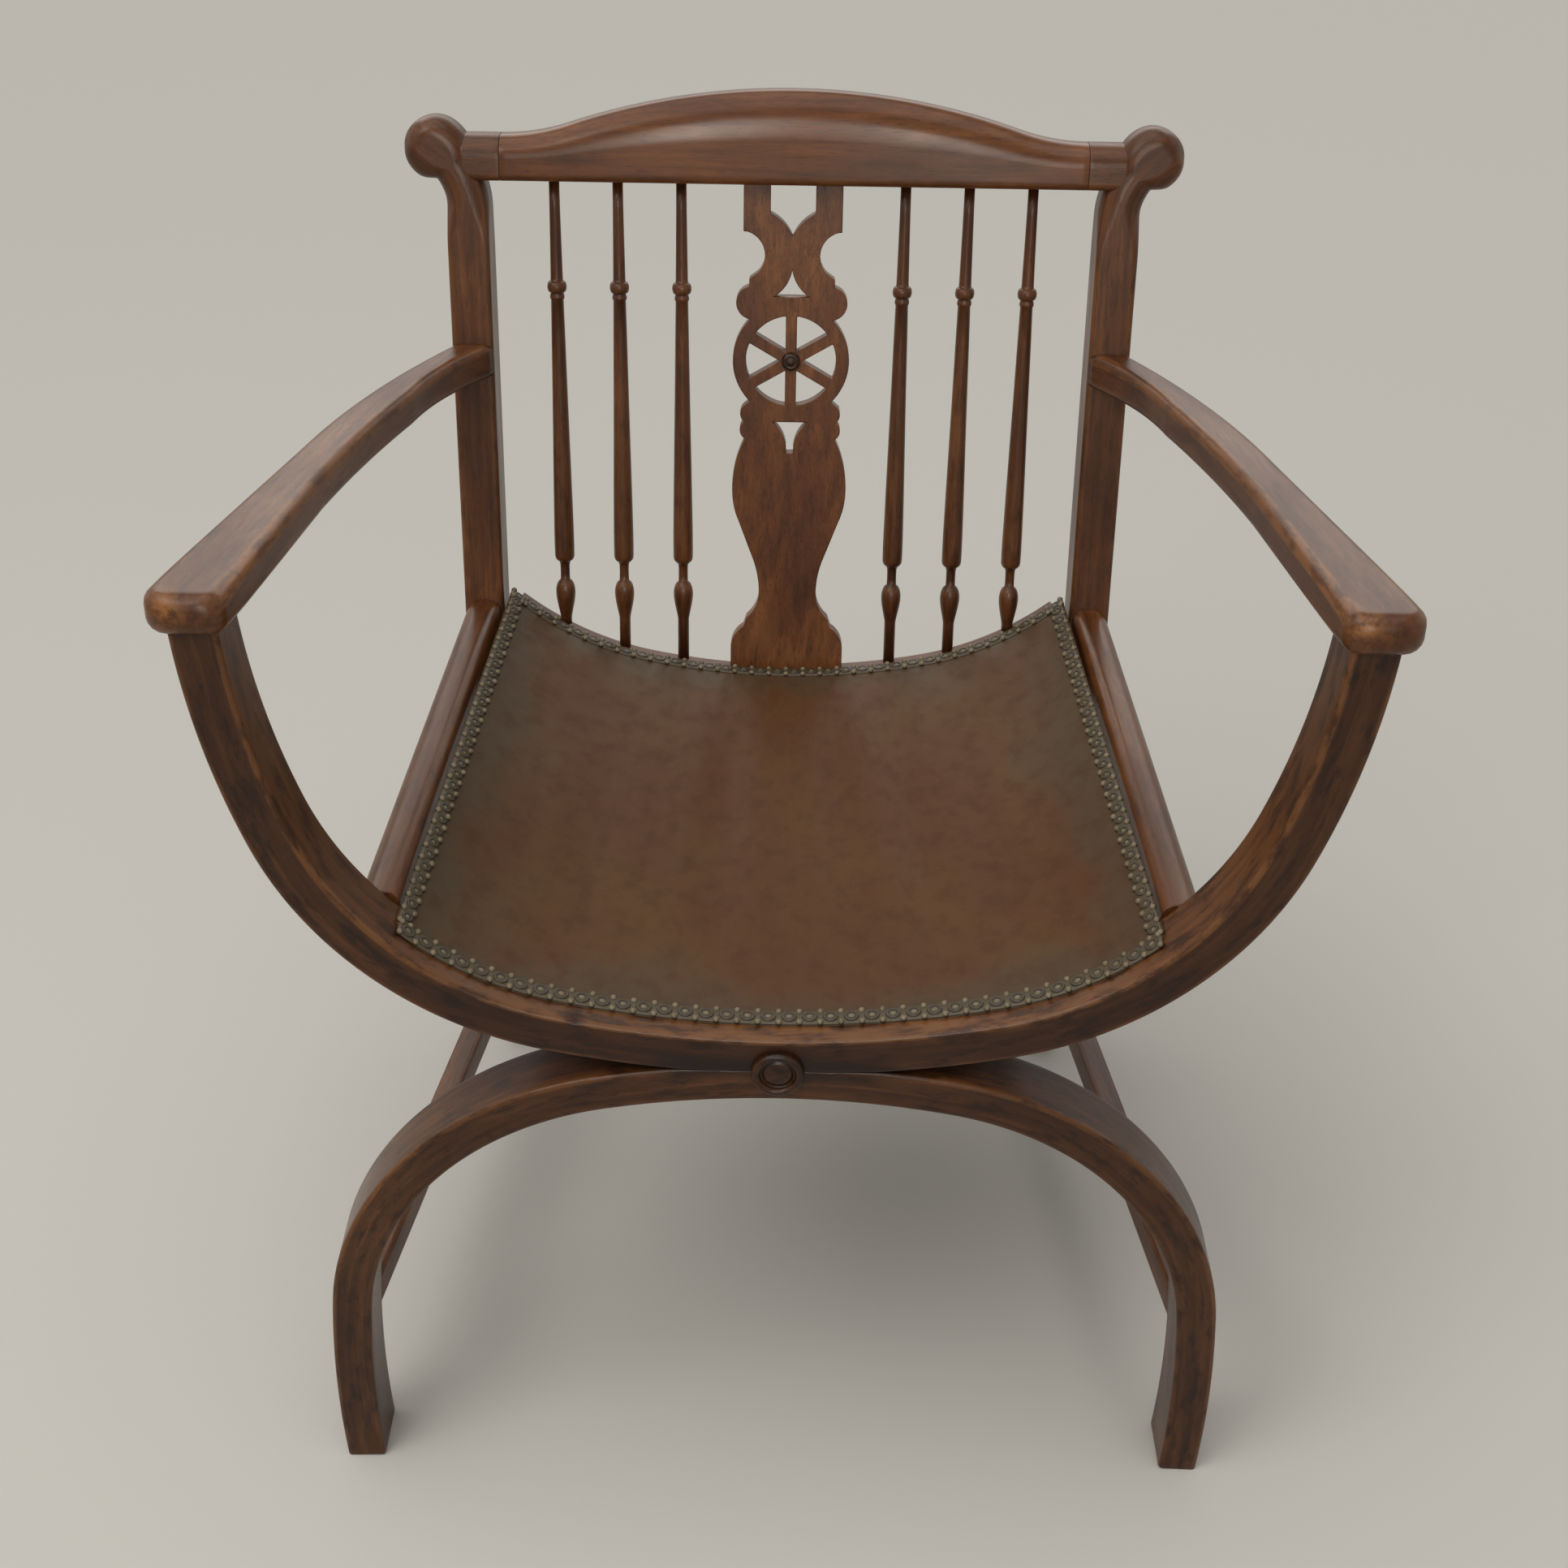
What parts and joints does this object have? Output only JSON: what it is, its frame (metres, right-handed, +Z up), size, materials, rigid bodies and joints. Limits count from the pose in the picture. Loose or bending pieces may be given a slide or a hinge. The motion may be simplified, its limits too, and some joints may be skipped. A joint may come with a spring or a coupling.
{
  "type": "x-frame open armchair",
  "caption": "Open armchair with a curved X-frame front, flat shaped arms, a joined back with turned spindles and a pierced wheel splat, and a dished leather seat edged with gimp.",
  "frame": {"origin": "on the floor, under the middle of the chair's width and depth", "axes": "+Z up, +Y to the back of the chair, +X to the right as seen from the front"},
  "size_m": [0.6534, 0.4866, 0.7831],
  "materials": {
    "dark_oak": "satin",
    "pale_pegs": "matte",
    "jute": "matte",
    "brown_leather": "satin",
    "gimp_braid": "satin"
  },
  "bodies": {
    "root": {"front_bow": "dark_oak", "front_leg_arch": "dark_oak", "crossing_boss": "dark_oak", "crossing_dowels": "pale_pegs", "arm_dowels": "pale_pegs", "left_back_post": "dark_oak", "right_back_post": "dark_oak", "crest_rail": "dark_oak", "rear_seat_rail": "dark_oak", "left_side_rail": "dark_oak", "right_side_rail": "dark_oak", "left_arm": "dark_oak", "right_arm": "dark_oak", "left_stretcher": "dark_oak", "right_stretcher": "dark_oak", "spindle_1": "dark_oak", "spindle_2": "dark_oak", "spindle_3": "dark_oak", "spindle_4": "dark_oak", "spindle_5": "dark_oak", "spindle_6": "dark_oak", "wheel_splat": "dark_oak", "wheel_button": "dark_oak", "seat_webbing": "jute", "seat_leather": "brown_leather", "front_gimp": "gimp_braid", "rear_gimp": "gimp_braid", "left_gimp": "gimp_braid", "right_gimp": "gimp_braid"}
  },
  "joints": []
}
